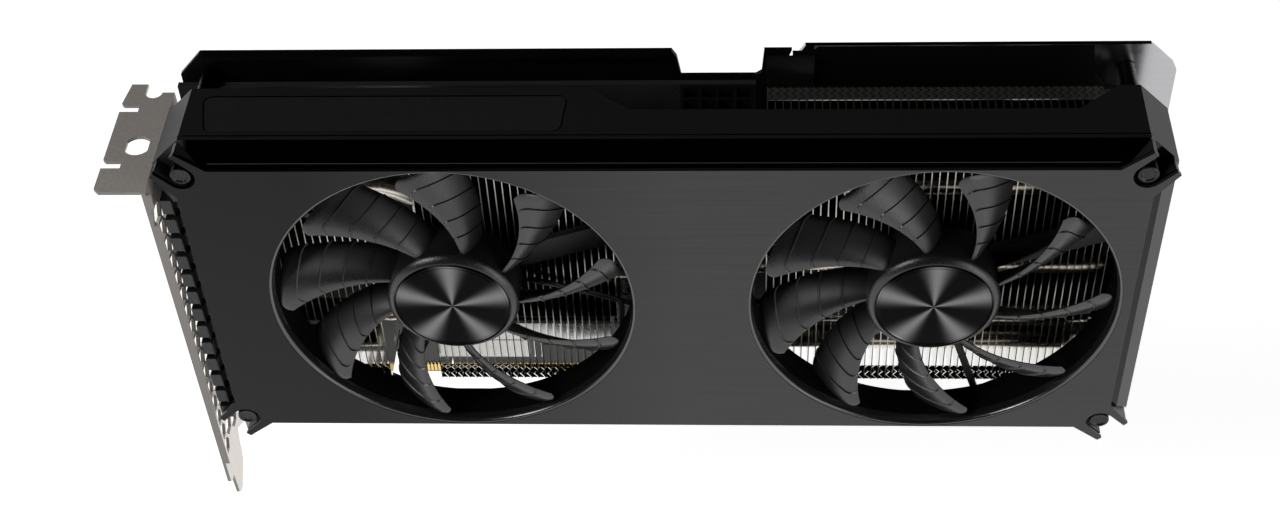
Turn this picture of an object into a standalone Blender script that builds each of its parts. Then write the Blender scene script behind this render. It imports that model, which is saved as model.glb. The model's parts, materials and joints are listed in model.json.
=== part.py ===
"""Dual-fan, dual-slot graphics card, modelled as an assembly of separate pieces.

Card frame (millimetres, scaled to metres by MM): X runs along the card from the inner face of the
slot bracket, Y runs from the front plate (Y = 0) towards the back plate, and Z runs up from the
lower edge of the front plate. Every piece hangs from the empty "card_origin", which puts the world
origin on the underside of the bracket's screw tab, midway between the two case screws.
"""
import bmesh
import bpy
import math
from mathutils import Matrix, Vector

MM = 0.001
GAP = 0.3                      # clearance that separate pieces keep where they touch

# Slot bracket (expansion-card standard sizes)
SHEET = 0.86                   # bracket sheet thickness
TAB_TOP = 82.8                 # top of the screw tab
TAB_REACH = 11.43              # how far the tab stands out of the bracket
TONGUE_DROP = 120.02           # tab top to tongue tip
SLOT_PITCH = 20.32             # from one slot to the next
BRACKET_FRONT = 1.2
BRACKET_REAR = BRACKET_FRONT + 18.42 + SLOT_PITCH
SCREW_X = -5.1                 # case screw centres on the tab
SCREW_Y = 17.4
SCREW_HOLE = (2.8, 3.3)        # half width and half length of the tab's flat-sided hole
NOTCH_R = 2.1
HEX_R = 2.85                   # bracket vents
HEX_PITCH = 5.9
VENT_RANGE = (-18.0, 72.0)
BRACKET_SCREWS = ((20.7, 78.7), (20.7, 2.0))
BRACKET_HEAD = 1.1             # low screw heads, clear of the ledge under the tab
SCREW_CLEAR = 5.4              # no vent comes nearer to a screw than this
PORT_DEPTH = (28.0, 34.1)      # the video sockets' front and rear faces
PORT_PLACES = ((64.0, 79.0), (44.4, 60.5), (25.0, 41.1), (5.6, 21.7))   # low and high Z of each
PORT_ROOM = 0.35               # bracket window round each socket

# Cooler outline
CENTRE_X = 120.6
CENTRE_Z = 45.25
FACE_HALF = (113.3, 45.3)      # front plate half length and half height
BODY_HALF = (118.2, 50.4)      # shroud half length and half height behind its bevel
BEVEL_DEPTH = 5.2
FACE_CUT = 8.8                 # corner cut of the front face
BODY_CUT = 7.2
BODY_DEPTH = 23.3
MID_DEPTH = 15.2               # shroud depth where its rear edge is cut back
WALL = 1.8
TEETH = 13                     # row of teeth between the front plate and the bracket
TEETH_TOP = 78.7
TOOTH_PITCH = 6.24
TOOTH_GAP = 1.92
TOOTH_FRONT = 2.5
TOOTH_RIGHT = 5.5
TOOTH_DEPTH = 9.5
GROOVE = 0.35                  # width and depth of the groove along the top face
GROOVE_BACK = 1.2              # from the bevel's edge back to the groove
PLATE = 1.0                    # front plate thickness
POST_HALF = (110.7, 43.2)      # corner posts, from the centre
POST_BLOCK = 18.0              # corner cut of the shroud's hollow, which leaves blocks for the posts
POST_R = 1.95
POST_HEAD_R = 2.5
SLOT_R = 3.5                   # U-slots round the corner posts

# Fans
FAN_X = (68.8, 186.1)
FAN_PHASE = (21.5, 4.3)        # where each fan's first blade stands, in degrees
FAN_ARMS = ((19.5, 150.0, 247.0), (19.5, 160.0, 288.0))   # frame arms; the first carries the lead
OPENING_R = 44.95
DUCT_R = 44.4
DUCT_REAR = 11.0
BLADES = 9
TIP_R = 42.6
HUB_R = 16.25
HUB_DEPTH = 11.0
CAP_R = 14.25
BLADE_ROOT = HUB_R - 0.8       # blades start a little inside the hub's wall
BLADE_SWEEP = 26.0             # degrees by which a blade's root trails its tip
BLADE_CHORD = (15.0, 21.5)     # blade width at root and tip, in degrees
BLADE_FRONT_Y = (2.4, 0.6)     # depth of the front edge at root and tip
BLADE_REAR_Y = (10.2, 9.4)
BLADE_CAMBER = 0.9
BLADE_THICK = 1.1
FRAME_FRONT = HUB_DEPTH + GAP
FRAME_REAR = 13.2
ARM_REACH = 46.2

# Board, back plates and heatsink
PCB_FRONT = 34.4
PCB_REAR = 36.0
PCB_RIGHT = 143.0
PCB_TOP = 86.8
PCB_BOTTOM = -10.2
CONTACT_TIP = -18.4
CONTACT_HEIGHT = 3.3           # height of the gold strips, which a thin bridge joins round the key
BACK_FRONT = 38.3
BACK_REAR = 39.5
BACK_TOP = 94.0
FIN_PITCH = 3.7                # one modelled fin for every two thin ones
FIN_THICK = 0.8
FIN_FRONT = 14.0
FIN_LOW = 2.4
FIN_HIGH = 88.0
FIN_RIGHT = 229.0
FIN_CUT = 4.9                  # corner cut at the right end of the right stack
PIPE_R = 3.0
PIPE_Y = 26.1
PIPE_ENDS = (18.5, FIN_RIGHT)
PIPE_SIDE_Z = (16.0, 34.5, 62.0)        # pipe heights through the outer fin stacks
PIPE_GPU_Z = (35.5, 44.5, 53.5)         # and where they are gathered over the processor
BEND_LEFT = (48, 64)                    # the stretches of X where they bend between the two
BEND_RIGHT = (108, 142)
GPU = (84.0, 44.5)
COOLER_HOLE = 25.0                      # cooler screws, from the processor's middle
CHIP_SIZE = (12.0, 14.0)

DATUM = (SCREW_X, SCREW_Y + SLOT_PITCH / 2, TAB_TOP - SHEET)


# ---------------------------------------------------------------- scene and materials

for leftover in list(bpy.data.objects):
    bpy.data.objects.remove(leftover)

card = bpy.data.collections.new("graphics_card")
cutters = bpy.data.collections.new("cutters")
bpy.context.scene.collection.children.link(card)
bpy.context.scene.collection.children.link(cutters)

origin = bpy.data.objects.new("card_origin", None)
origin.location = [-value * MM for value in DATUM]
card.objects.link(origin)


def material(name, colour, roughness, metallic):
    made = bpy.data.materials.new(name)
    made.use_nodes = True
    shader = made.node_tree.nodes["Principled BSDF"]
    shader.inputs["Base Color"].default_value = (*colour, 1.0)
    shader.inputs["Roughness"].default_value = roughness
    shader.inputs["Metallic"].default_value = metallic
    made.diffuse_color = (*colour, 1.0)
    return made


BRACKET_STEEL = material("bracket_steel", (0.55, 0.53, 0.50), 0.35, 1.0)
BRUSHED_PLATE = material("brushed_plate", (0.06, 0.06, 0.06), 0.45, 0.8)
GLOSS_BLACK = material("gloss_black", (0.008, 0.008, 0.008), 0.12, 0.0)
PANEL_GREY = material("panel_grey", (0.02, 0.02, 0.02), 0.4, 0.0)
BLADE_BLACK = material("blade_black", (0.02, 0.02, 0.02), 0.5, 0.0)
SPUN_METAL = material("spun_metal", (0.12, 0.12, 0.12), 0.3, 1.0)
BACK_BLACK = material("back_black", (0.01, 0.01, 0.01), 0.4, 0.3)
MIRROR_GREY = material("mirror_grey", (0.15, 0.15, 0.15), 0.1, 1.0)
BOARD_BLACK = material("board_black", (0.015, 0.02, 0.018), 0.5, 0.0)
GOLD = material("gold", (0.83, 0.62, 0.27), 0.3, 1.0)
CHIP_BLACK = material("chip_black", (0.02, 0.02, 0.02), 0.5, 0.0)
PACKAGE_GREEN = material("package_green", (0.03, 0.09, 0.05), 0.5, 0.0)
POST_BLACK = material("post_black", (0.02, 0.02, 0.02), 0.4, 0.5)
DIE_GREY = material("die_grey", (0.2, 0.2, 0.22), 0.15, 0.6)
SOCKET_BLACK = material("socket_black", (0.015, 0.015, 0.015), 0.5, 0.0)
BRIGHT_STEEL = material("bright_steel", (0.6, 0.6, 0.6), 0.3, 1.0)
COPPER = material("copper", (0.72, 0.38, 0.25), 0.25, 1.0)
NICKEL = material("nickel", (0.66, 0.65, 0.62), 0.2, 1.0)
FIN_METAL = material("fin_metal", (0.6, 0.6, 0.6), 0.3, 1.0)
BEARING_BRASS = material("bearing_brass", (0.7, 0.52, 0.25), 0.4, 1.0)
COIL_COPPER = material("coil_copper", (0.6, 0.3, 0.15), 0.4, 1.0)
MAGNET_GREY = material("magnet_grey", (0.12, 0.12, 0.12), 0.6, 0.3)
CABLE_BLACK = material("cable_black", (0.02, 0.02, 0.02), 0.6, 0.0)
CHOKE_GREY = material("choke_grey", (0.1, 0.1, 0.1), 0.55, 0.2)


# ---------------------------------------------------------------- shape helpers

def place(name, mesh, skin, cutter=False):
    """Links a mesh given in card-frame millimetres as a named object under the card's empty."""
    mesh.transform(Matrix.Scale(MM, 4))
    made = bpy.data.objects.new(name, mesh)
    (cutters if cutter else card).objects.link(made)
    made.parent = origin
    if cutter:
        made.hide_render = True
        made.display_type = "WIRE"
    if skin:
        mesh.materials.append(skin)
    return made


def mesh_from(bm, name):
    bmesh.ops.recalc_face_normals(bm, faces=bm.faces)
    if bm.calc_volume(signed=True) < 0:
        bmesh.ops.reverse_faces(bm, faces=bm.faces)
    mesh = bpy.data.meshes.new(name)
    bm.to_mesh(mesh)
    bm.free()
    return mesh


def recentre(made, point):
    """Moves an object's origin to a card-frame point and leaves its shape where it is."""
    offset = Vector(point) * MM
    made.data.transform(Matrix.Translation(-offset))
    made.location = offset
    return made


def add_box(bm, low, high):
    size = [b - a for a, b in zip(low, high)]
    middle = [(a + b) / 2 for a, b in zip(low, high)]
    frame = Matrix.Translation(middle) @ Matrix.Diagonal((*size, 1.0))
    return bmesh.ops.create_cube(bm, size=1.0, matrix=frame)["verts"]


def box(name, low, high, skin, cutter=False, bevel=0.0):
    bm = bmesh.new()
    add_box(bm, low, high)
    if bevel:
        bmesh.ops.bevel(bm, geom=bm.edges[:], offset=bevel, segments=1, affect="EDGES")
    return place(name, mesh_from(bm, name), skin, cutter)


def add_rod(bm, centre, radius, low, high, axis="Y", sides=24):
    """A cylinder between low and high along axis, centred on the other two coordinates."""
    turn = {"X": Matrix.Rotation(math.pi / 2, 4, "Y"),
            "Y": Matrix.Rotation(-math.pi / 2, 4, "X"),
            "Z": Matrix.Identity(4)}[axis]
    middle = (low + high) / 2
    spot = {"X": (middle, *centre), "Y": (centre[0], middle, centre[1]), "Z": (*centre, middle)}[axis]
    bmesh.ops.create_cone(bm, cap_ends=True, segments=sides, radius1=radius, radius2=radius,
                          depth=high - low, matrix=Matrix.Translation(spot) @ turn)


def rod(name, centre, radius, low, high, skin, axis="Y", sides=24, cutter=False):
    bm = bmesh.new()
    add_rod(bm, centre, radius, low, high, axis, sides)
    return place(name, mesh_from(bm, name), skin, cutter)


def turned(name, centre, profile, skin, sides=32):
    """A closed profile of (radius, Y) points turned about the Y axis through centre (X, Z)."""
    bm = bmesh.new()
    closed = profile[0][0] > 0
    ring = [bm.verts.new((radius, y, 0)) for radius, y in profile]
    for first, second in zip(ring, ring[1:]):
        bm.edges.new((first, second))
    if closed:
        bm.edges.new((ring[-1], ring[0]))
    bmesh.ops.spin(bm, geom=bm.verts[:] + bm.edges[:], cent=(0, 0, 0), axis=(0, 1, 0),
                   angle=2 * math.pi, steps=sides, use_merge=True)
    bmesh.ops.remove_doubles(bm, verts=bm.verts, dist=0.001)
    bmesh.ops.translate(bm, verts=bm.verts, vec=(centre[0], 0, centre[1]))
    return place(name, mesh_from(bm, name), skin)


# Each plane maps an outline's (u, v) and a depth to card coordinates.
PLANES = {"XZ": lambda u, v, depth: (u, depth, v),
          "XY": lambda u, v, depth: (u, v, depth),
          "YZ": lambda u, v, depth: (depth, u, v)}


def sheet(name, outline, holes, plane, low, high, skin, cutter=False):
    """A flat outline with holes, as a filled 2D curve given its thickness and made a mesh."""
    curve = bpy.data.curves.new(name, "CURVE")
    curve.dimensions = "2D"
    curve.fill_mode = "BOTH"
    curve.extrude = (high - low) / 2
    for loop in [outline, *holes]:
        spline = curve.splines.new("POLY")
        spline.points.add(len(loop) - 1)
        for point, (u, v) in zip(spline.points, loop):
            point.co = (u, v, 0, 1)
        spline.use_cyclic_u = True
    guide = bpy.data.objects.new(name + "_outline", curve)
    bpy.context.scene.collection.objects.link(guide)
    solid = guide.evaluated_get(bpy.context.evaluated_depsgraph_get())
    mesh = bpy.data.meshes.new_from_object(solid)
    bpy.data.objects.remove(guide)
    bm = bmesh.new()
    bm.from_mesh(mesh)
    bmesh.ops.remove_doubles(bm, verts=bm.verts, dist=0.0005)
    middle = (low + high) / 2
    for vert in bm.verts:
        vert.co = PLANES[plane](vert.co.x, vert.co.y, middle + vert.co.z)
    return place(name, mesh_from(bm, name), skin, cutter)


def loft(name, rings, skin, cutter=False):
    """A closed solid through rings of equal point counts, each a list of card-frame points."""
    bm = bmesh.new()
    loops = [[bm.verts.new(point) for point in ring] for ring in rings]
    count = len(loops[0])
    for near, far in zip(loops, loops[1:]):
        for i in range(count):
            j = (i + 1) % count
            bm.faces.new((near[i], near[j], far[j], far[i]))
    bm.faces.new(loops[0])
    bm.faces.new(loops[-1])
    return place(name, mesh_from(bm, name), skin, cutter)


def tube(name, route, radius, skin, resolution=2):
    """A round wire or pipe along a list of card-frame points."""
    curve = bpy.data.curves.new(name, "CURVE")
    curve.dimensions = "3D"
    curve.bevel_depth = radius * MM
    curve.bevel_resolution = resolution
    curve.use_fill_caps = True
    spline = curve.splines.new("POLY")
    spline.points.add(len(route) - 1)
    for point, place_mm in zip(spline.points, route):
        point.co = (*(Vector(place_mm) * MM), 1)
    made = bpy.data.objects.new(name, curve)
    made.parent = origin
    card.objects.link(made)
    curve.materials.append(skin)
    return made


def smooth_route(points, steps):
    """Points along a Catmull-Rom curve through the given ones."""
    padded = [points[0], *points, points[-1]]
    route = []
    for a, b, c, d in zip(padded, padded[1:], padded[2:], padded[3:]):
        a, b, c, d = Vector(a), Vector(b), Vector(c), Vector(d)
        for i in range(steps):
            t = i / steps
            route.append(0.5 * (2 * b + (c - a) * t + (2 * a - 5 * b + 4 * c - d) * t ** 2
                                + (3 * b - a - 3 * c + d) * t ** 3))
    route.append(Vector(points[-1]))
    return route


def combine(base, tool, operation):
    step = base.modifiers.new(operation.lower() + "_" + tool.name, "BOOLEAN")
    step.operation = operation
    step.solver = "EXACT"
    step.object = tool


def circle(centre, radius, sides, start=0.0, sweep=2 * math.pi):
    whole = abs(sweep) >= 2 * math.pi - 1e-6
    count = sides if whole else sides + 1
    return [(centre[0] + radius * math.cos(start + sweep * i / sides),
             centre[1] + radius * math.sin(start + sweep * i / sides)) for i in range(count)]


def rectangle(u_low, u_high, v_low, v_high):
    return [(u_low, v_low), (u_high, v_low), (u_high, v_high), (u_low, v_high)]


def octagon(half, cut):
    """The eight (X, Z) corners of a rectangle with cut corners about the card's centre."""
    wide, tall = half
    corners = [(wide, tall - cut), (wide - cut, tall), (cut - wide, tall), (-wide, tall - cut),
               (-wide, cut - tall), (cut - wide, -tall), (wide - cut, -tall), (wide, cut - tall)]
    return [(CENTRE_X + x, CENTRE_Z + z) for x, z in corners]


# ---------------------------------------------------------------- bracket

def bracket_holes():
    """Hexagonal vents in staggered columns, and a window for each video socket, as (Y, Z) loops."""
    holes = []
    for column in range(4):
        y = 5.4 + column * HEX_PITCH * math.sqrt(3) / 2
        for row in range(16):
            z = VENT_RANGE[1] - HEX_PITCH * (row + column % 2 / 2)
            clear = all(math.hypot(y - screw[0], z - screw[1]) > SCREW_CLEAR for screw in BRACKET_SCREWS)
            if clear and z > VENT_RANGE[0]:
                holes.append(circle((y, z), HEX_R, 6))
    for low, high in PORT_PLACES:
        holes.append(rectangle(PORT_DEPTH[0] - PORT_ROOM, PORT_DEPTH[1] + PORT_ROOM,
                               low - PORT_ROOM, high + PORT_ROOM))
    return holes


def flat_sided_hole():
    """The tab's screw hole: a circle whose two sides are cut flat."""
    half_width, radius = SCREW_HOLE
    corner = math.acos(half_width / radius)
    centre = (SCREW_X, SCREW_Y)
    return [point for start in (corner, corner + math.pi)
            for point in circle(centre, radius, 8, start, math.pi - 2 * corner)]


def make_bracket():
    tip = TAB_TOP - TONGUE_DROP
    outline = [(BRACKET_FRONT, TAB_TOP - SHEET / 2), (BRACKET_FRONT, -26.5), (2.6, -27.8)]
    for index in range(2):
        y = 4.4 + SLOT_PITCH * index
        shoulder = -22.0 - 0.8 * index
        outline += [(y, -27.6), (y + 0.6, tip + 1.2), (y + 1.8, tip), (y + 4.0, tip), (y + 9.4, tip + 4.6),
                    (y + 10.4, tip + 8.2), (y + 10.6, -26.5), (y + 12.0, shoulder)]
    outline += [(BRACKET_REAR, -23.4), (BRACKET_REAR, 70.0), (BRACKET_REAR - 3.0, 73.0),
                (BRACKET_REAR - 3.0, TAB_TOP - SHEET / 2)]
    plate = sheet("bracket", outline, bracket_holes(), "YZ", -SHEET, 0.0, BRACKET_STEEL)

    outer = -SHEET - TAB_REACH
    back = BRACKET_REAR - 3.1
    tab_outline = [(0.0, BRACKET_FRONT), (outer + 1.2, BRACKET_FRONT), (outer, BRACKET_FRONT + 1.2)]
    for slot_low in (9.5, 29.7):
        slot_high = slot_low + 2.3
        tab_outline += [(outer, slot_low), (outer + 4.6, slot_low), (outer + 4.6, slot_high),
                        (outer + 0.7, slot_high), (outer, slot_high + 0.7)]
    tab_outline += [(outer + 1.0, BRACKET_REAR), (SCREW_X - NOTCH_R, BRACKET_REAR)]
    tab_outline += circle((SCREW_X, back), NOTCH_R, 8, math.pi, math.pi)
    tab_outline.append((0.0, back))
    tab = sheet("bracket_tab", tab_outline, [flat_sided_hole()], "XY", TAB_TOP - SHEET, TAB_TOP, None, True)
    combine(plate, tab, "UNION")

    flange_x = 1.15
    for index, (z_low, z_high) in enumerate([(-18.7, 71.5), (77.0, TAB_TOP - SHEET - 0.4)]):
        lip = box("bracket_lip_%d" % index, (-SHEET / 2, BRACKET_FRONT, z_low),
                  (flange_x, BRACKET_FRONT + SHEET, z_high), None, True)
        combine(plate, lip, "UNION")
    for index, (y, z) in enumerate(BRACKET_SCREWS):
        drill = rod("bracket_drill_%d" % index, (y, z), 1.65, -SHEET - 1, 1, None, "X", 16, True)
        combine(plate, drill, "DIFFERENCE")
        screw = rod("bracket_screw_%d" % (index + 1), (y, z), 1.3, -SHEET - 0.6, 5.6, BRIGHT_STEEL, "X", 16)
        head = rod("bracket_screw_head_%d" % index, (y, z), 2.6, -SHEET - GAP - BRACKET_HEAD, -SHEET - GAP,
                   None, "X", 20, True)
        combine(screw, head, "UNION")


# ---------------------------------------------------------------- front plate and shroud

def post_centre(sign_x, sign_z):
    return (CENTRE_X + sign_x * POST_HALF[0], CENTRE_Z + sign_z * POST_HALF[1])


def corner_lug(sign_x, sign_z, size=1.0):
    """The two prongs and the U-slot round one corner post, as (X, Z) points in ring order."""
    outer = [(6.4, 2.0), (-0.3, 7.2), (-1.3, 6.3)]
    arc = circle((0, 0), SLOT_R, 14, math.radians(45), -math.pi)
    mirrored = [(-v, -u) for u, v in reversed(outer)]
    x, z = post_centre(sign_x, sign_z)
    points = [(x - sign_x * u * size, z + sign_z * v * size) for u, v in [*outer, *arc, *mirrored]]
    return points if sign_x * sign_z < 0 else points[::-1]


def face_outline():
    outline = []
    for sign_x, sign_z in ((-1, 1), (-1, -1), (1, -1), (1, 1)):
        outline += corner_lug(sign_x, sign_z)
    return outline


def make_front_plate():
    openings = [circle((x, CENTRE_Z), OPENING_R, 64) for x in FAN_X]
    sheet("front_plate", face_outline(), openings, "XZ", 0.0, PLATE, BRUSHED_PLATE)


def shroud_ring(y, inset=0.0, corner=None):
    """The shroud's outline at depth y, drawn in by inset: it widens over the bevel, then runs back."""
    part = min(max(y / BEVEL_DEPTH, 0.0), 1.0)
    half = [face + (body - face) * part - inset for face, body in zip(FACE_HALF, BODY_HALF)]
    cut = corner or FACE_CUT + (BODY_CUT - FACE_CUT) * part
    return [(x, y, z) for x, z in octagon(half, cut)]


def make_shroud():
    front = PLATE + GAP
    shroud = loft("shroud", [shroud_ring(front), shroud_ring(BEVEL_DEPTH), shroud_ring(BODY_DEPTH)],
                  GLOSS_BLACK)
    for index, (sign_x, sign_z) in enumerate(((-1, 1), (-1, -1), (1, -1), (1, 1))):
        lug = sheet("lug_%d" % index, corner_lug(sign_x, sign_z, 0.96), [], "XZ", front + 0.15,
                    BEVEL_DEPTH + 0.6, None, True)
        combine(shroud, lug, "UNION")
        x, z = post_centre(sign_x, sign_z)
        reach = 14.0
        way = Matrix.Rotation(math.atan2(sign_z, sign_x), 2)
        slot = [way @ Vector(p) for p in [(reach, SLOT_R), (reach, -SLOT_R),
                                          *circle((0, 0), SLOT_R, 14, -math.pi / 2, -math.pi)]]
        recess = sheet("recess_%d" % index, [(x + p[0], z + p[1]) for p in slot], [], "XZ",
                       front - 1, BEVEL_DEPTH + 0.2, None, True)
        combine(shroud, recess, "DIFFERENCE")
    depths = (front + WALL, BEVEL_DEPTH, BODY_DEPTH + 1)
    hollow = loft("shroud_hollow", [shroud_ring(y, WALL, POST_BLOCK) for y in depths], None, True)
    combine(shroud, hollow, "DIFFERENCE")
    for index, x in enumerate(FAN_X):
        duct = rod("duct_%d" % index, (x, CENTRE_Z), DUCT_R + 1.6, front + 0.5, DUCT_REAR, None,
                   sides=64, cutter=True)
        combine(shroud, duct, "UNION")
        bore = rod("duct_bore_%d" % index, (x, CENTRE_Z), DUCT_R, -1, DUCT_REAR + 1, None,
                   sides=64, cutter=True)
        combine(shroud, bore, "DIFFERENCE")

    teeth_low = TEETH_TOP - TOOTH_PITCH * TEETH
    plate_left = CENTRE_X - FACE_HALF[0]
    bar = box("teeth_bar", (CENTRE_X - BODY_HALF[0] + 0.1, TOOTH_FRONT, teeth_low),
              (TOOTH_RIGHT + 1, BEVEL_DEPTH + 1.5, TEETH_TOP + 0.5), None, True)
    combine(shroud, bar, "UNION")
    gutter = box("teeth_gutter", (TOOTH_RIGHT, -1, teeth_low), (plate_left, BEVEL_DEPTH - 0.7, TEETH_TOP + 1),
                 None, True)
    combine(shroud, gutter, "DIFFERENCE")
    cuts = bmesh.new()
    for index in range(TEETH + 1):
        top = TEETH_TOP + TOOTH_GAP - TOOTH_PITCH * index
        add_box(cuts, (-1, -1, top - TOOTH_GAP), (TOOTH_RIGHT + 0.8, TOOTH_DEPTH, top))
    for sign_x in (-1, 1):
        for sign_z in (-1, 1):
            add_rod(cuts, post_centre(sign_x, sign_z), POST_R + 0.4, 0, BODY_DEPTH + 1)
    for y, z in BRACKET_SCREWS:
        add_box(cuts, (-1, y - 2, z - 2), (6.0, y + 2, z + 2))
    groove_front = BEVEL_DEPTH + GROOVE_BACK
    add_box(cuts, (CENTRE_X - BODY_HALF[0], groove_front, CENTRE_Z + BODY_HALF[1] - GROOVE),
            (CENTRE_X + BODY_HALF[0], groove_front + GROOVE, CENTRE_Z + BODY_HALF[1] + 1))
    combine(shroud, place("shroud_cuts", mesh_from(cuts, "shroud_cuts"), None, True), "DIFFERENCE")

    deep = BODY_DEPTH + 1
    top_cut = [(102.2, deep), (113.6, MID_DEPTH), (216.8, MID_DEPTH), (228.0, deep)]
    top = sheet("top_cut", top_cut, [], "XY", 90.0, 100.0, None, True)
    combine(shroud, top, "DIFFERENCE")
    for index, x in enumerate(FAN_X):
        low_cut = [(x - 30.5, deep), (x - 12.5, MID_DEPTH), (x + 12.5, MID_DEPTH), (x + 30.5, deep)]
        low = sheet("low_cut_%d" % index, low_cut, [], "XY", -8.0, 1.0, None, True)
        combine(shroud, low, "DIFFERENCE")
    panel_seat = sheet("panel_seat", panel_outline(0.35), [], "XY", CENTRE_Z + BODY_HALF[1] - 0.7,
                       CENTRE_Z + BODY_HALF[1] + 1, None, True)
    combine(shroud, panel_seat, "DIFFERENCE")


def panel_outline(grow):
    """The inset name-panel recess in the top face: a parallelogram with rounded corners."""
    corners = [(15.5, 8.2), (97.9, 8.2), (98.9, 20.1), (13.1, 20.1)]
    radius = 1.8
    points = []
    for index, corner in enumerate(corners):
        ahead = Vector(corners[(index + 1) % 4]) - Vector(corner)
        behind = Vector(corners[index - 1]) - Vector(corner)
        inward = ahead.normalized() + behind.normalized()
        centre = Vector(corner) + inward * radius
        start = -math.pi + index * math.pi / 2
        points += circle(centre, radius + grow, 4, start, math.pi / 2)
    return points


def make_panel_and_posts():
    top = CENTRE_Z + BODY_HALF[1]
    sheet("logo_panel", panel_outline(0.0), [], "XY", top - 0.4, top - 0.05, PANEL_GREY)
    for name, sign_x, sign_z in (("left_top", -1, 1), ("left_bottom", -1, -1),
                                 ("right_top", 1, 1), ("right_bottom", 1, -1)):
        profile = [(0, 0.4), (POST_HEAD_R - 0.4, 0.4), (POST_HEAD_R, 0.8), (POST_HEAD_R, BEVEL_DEPTH - 0.1),
                   (POST_R, BEVEL_DEPTH + 0.2), (POST_R, BACK_FRONT - GAP), (0, BACK_FRONT - GAP)]
        turned("corner_post_" + name, post_centre(sign_x, sign_z), profile, POST_BLACK, 16)


# ---------------------------------------------------------------- fans

def between(ends, part):
    return ends[0] + (ends[1] - ends[0]) * part


def blade_grid(phase):
    """Points of one swept blade as an open surface: rows run hub to tip, columns front to rear edge."""
    rows = 5
    columns = 4
    grid = []
    for i in range(rows):
        t = i / (rows - 1)
        radius = between((BLADE_ROOT, TIP_R), t)
        front = phase - BLADE_SWEEP * (1 - t)
        row = []
        for j in range(columns):
            s = j / (columns - 1)
            angle = math.radians(front - between(BLADE_CHORD, t) * s)
            y = between((between(BLADE_FRONT_Y, t), between(BLADE_REAR_Y, t)), s)
            y -= BLADE_CAMBER * math.sin(math.pi * s)
            row.append((radius * math.cos(angle), y, radius * math.sin(angle)))
        grid.append(row)
    return grid


def blade_solid(bm, phase, thickness):
    """Adds one blade, its surface thickened evenly to both sides."""
    grid = [[Vector(point) for point in row] for row in blade_grid(phase)]
    rows = len(grid)
    columns = len(grid[0])
    sides = []
    for side in (-0.5, 0.5):
        layer = []
        for i in range(rows):
            line = []
            for j in range(columns):
                along = grid[min(i + 1, rows - 1)][j] - grid[max(i - 1, 0)][j]
                across = grid[i][min(j + 1, columns - 1)] - grid[i][max(j - 1, 0)]
                normal = along.cross(across).normalized()
                line.append(bm.verts.new(grid[i][j] + normal * thickness * side))
            layer.append(line)
        sides.append(layer)
    front, back = sides
    for i in range(rows - 1):
        for j in range(columns - 1):
            bm.faces.new((front[i][j], front[i + 1][j], front[i + 1][j + 1], front[i][j + 1]))
            bm.faces.new((back[i][j], back[i][j + 1], back[i + 1][j + 1], back[i + 1][j]))
    rim = [(i, 0) for i in range(rows)] + [(rows - 1, j) for j in range(1, columns)]
    rim += [(i, columns - 1) for i in range(rows - 2, -1, -1)] + [(0, j) for j in range(columns - 2, 0, -1)]
    for (i, j), (k, m) in zip(rim, rim[1:] + rim[:1]):
        bm.faces.new((front[i][j], back[i][j], back[k][m], front[k][m]))


def make_fan(side, x, phase, arms):
    name = "fan_%s_" % side
    centre = (x, CENTRE_Z)
    axle = (x, 0.0, CENTRE_Z)
    hub = [(0, 1.2), (CAP_R + 0.2, 1.2), (CAP_R + 0.4, 0.2), (HUB_R - 0.6, 0.1), (HUB_R, 0.8),
           (HUB_R, HUB_DEPTH), (HUB_R - 1.4, HUB_DEPTH), (HUB_R - 1.4, 2.6), (1.6, 2.6), (1.6, 3.4),
           (0, 3.4)]
    rotor = turned(name + "rotor", centre, hub, BLADE_BLACK, 32)
    for index in range(BLADES):
        bm = bmesh.new()
        blade_solid(bm, phase + index * 360 / BLADES, BLADE_THICK)
        bmesh.ops.translate(bm, verts=bm.verts, vec=axle)
        blade = place(name + "blade_%d" % index, mesh_from(bm, "blade"), None, True)
        combine(rotor, blade, "UNION")
    recentre(rotor, axle)

    cap = [(0, 0.1), (CAP_R - 0.3, 0.1), (CAP_R - 0.1, 0.3), (CAP_R - 0.1, 0.9), (0, 0.9)]
    moving = [turned(name + "hub_cap", centre, cap, SPUN_METAL, 32),
              rod(name + "shaft", centre, 1.0, 3.7, 10.6, BRIGHT_STEEL, sides=16),
              turned(name + "magnet", centre, [(12.4, 3.0), (14.5, 3.0), (14.5, 10.6), (12.4, 10.6)],
                     MAGNET_GREY, 24)]
    for piece in moving:
        recentre(piece, axle)

    turned(name + "bearing", centre, [(1.3, 4.4), (2.9, 4.4), (2.9, 10.9), (1.3, 10.9)], BEARING_BRASS, 16)
    turned(name + "stator", centre, [(3.3, 4.6), (11.6, 4.6), (11.6, 10.4), (3.3, 10.4)], COIL_COPPER, 24)
    base = rod(name + "frame", centre, 15.4, FRAME_FRONT, FRAME_REAR, BLADE_BLACK, sides=32)
    for index, angle in enumerate(arms):
        half_width = 0.8 if index else 3.3
        bm = bmesh.new()
        add_box(bm, (13.0, FRAME_FRONT, -half_width), (ARM_REACH, FRAME_REAR, half_width))
        turn = Matrix.Rotation(-math.radians(angle), 3, "Y")
        bmesh.ops.rotate(bm, verts=bm.verts, cent=(0, 0, 0), matrix=turn)
        bmesh.ops.translate(bm, verts=bm.verts, vec=(x, 0, CENTRE_Z))
        combine(base, place(name + "strut_%d" % index, mesh_from(bm, "strut"), None, True), "UNION")


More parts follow.
